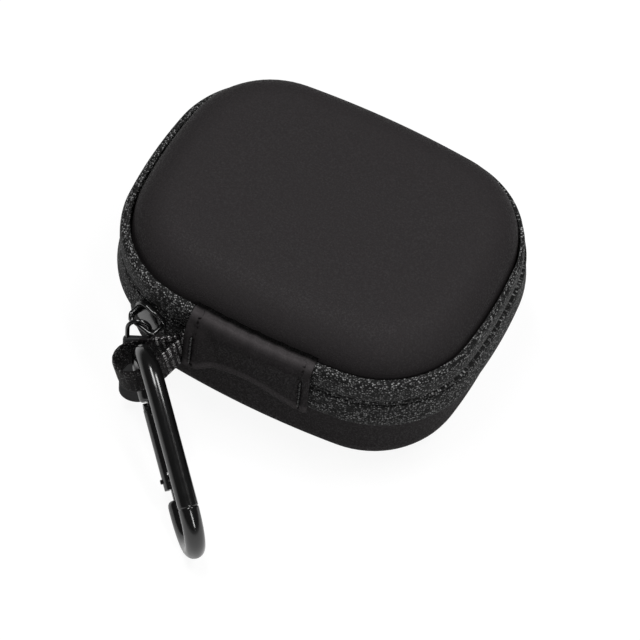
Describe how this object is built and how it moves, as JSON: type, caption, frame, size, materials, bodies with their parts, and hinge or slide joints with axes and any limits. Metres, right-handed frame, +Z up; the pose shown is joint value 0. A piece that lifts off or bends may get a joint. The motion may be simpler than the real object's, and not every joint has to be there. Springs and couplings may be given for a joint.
{
  "type": "earbud case",
  "caption": "Small zipped hard case with moulded half shells, a flexing cover on the hinge side, a webbing loop and a snap hook.",
  "frame": {"origin": "middle of the flat base", "axes": "+Z up, X along the hinge, the hinge side with the webbing loop and hook faces -Y"},
  "size_m": [0.0912, 0.114, 0.0465],
  "materials": {
    "skin": "soft-touch moulded skin, fine grain",
    "foam": "closed-cell foam",
    "lining": "smooth knitted lining",
    "binding": "folded tape",
    "zip_tape": "knitted tape with a bright fleck",
    "zip_coil": "moulded coil",
    "plated_metal": "black plating",
    "gloss_metal": "glossy black lacquer",
    "pull_plastic": "smooth satin rubber",
    "thread": "polyester thread",
    "webbing": "ribbed grosgrain",
    "hook_metal": "glossy black anodised",
    "steel": "plain steel"
  },
  "bodies": {
    "base": {"lower_skin": "skin", "lower_foam_shell": "foam", "lower_lining": "lining", "lower_binding": "binding", "lower_zip_tape": "zip_tape", "lower_zip_coil": "zip_coil", "zip_end_stops": "plated_metal", "hinge_cover": "skin", "hinge_strip": "lining", "cover_stitches": "thread", "webbing_loop": "webbing"},
    "lid": {"upper_skin": "skin", "upper_foam_shell": "foam", "upper_lining": "lining", "upper_binding": "binding", "upper_zip_tape": "zip_tape", "upper_zip_coil": "zip_coil"},
    "slider": {"slider_body": "gloss_metal", "slider_bridge": "gloss_metal"},
    "pull": {"pull_loop": "gloss_metal", "pull_tab": "pull_plastic"},
    "hook": {"hook_body": "hook_metal", "gate_pin": "steel"},
    "gate": {"hook_gate": "hook_metal", "gate_plunger": "steel", "gate_spring": "steel", "latch_pin": "hook_metal"}
  },
  "joints": [
    {"name": "lid_hinge", "type": "hinge", "parent": "base", "child": "lid", "pos_m": [0, -0.0363, 0.0339], "axis": [1, 0, 0], "range_deg": [0, 100], "deforming": ["hinge_cover", "hinge_strip", "cover_stitches"]},
    {"name": "slider_travel", "type": "hinge", "parent": "base", "child": "slider", "pos_m": [-0.01926, -0.01005, 0.0292], "axis": [0, 0, 1], "range_deg": [-66, 0]},
    {"name": "pull_swing", "type": "hinge", "parent": "slider", "child": "pull", "pos_m": [-0.02696, -0.03946, 0.028], "axis": [0.9706, -0.2406, 0], "range_deg": [-2, 20]},
    {"name": "hook_swing", "type": "hinge", "parent": "base", "child": "hook", "pos_m": [-0.01675, -0.0511, 0.0232], "axis": [0.7118, 0.6995, 0.0632], "range_deg": [-60, 0]},
    {"name": "gate_swing", "type": "hinge", "parent": "hook", "child": "gate", "pos_m": [-0.01749, -0.04952, 0.01405], "axis": [0.7118, 0.6995, 0.0632], "range_deg": [-28, 0], "stiffness_Nm_per_rad": 0.04, "springref_deg": 20.05}
  ]
}
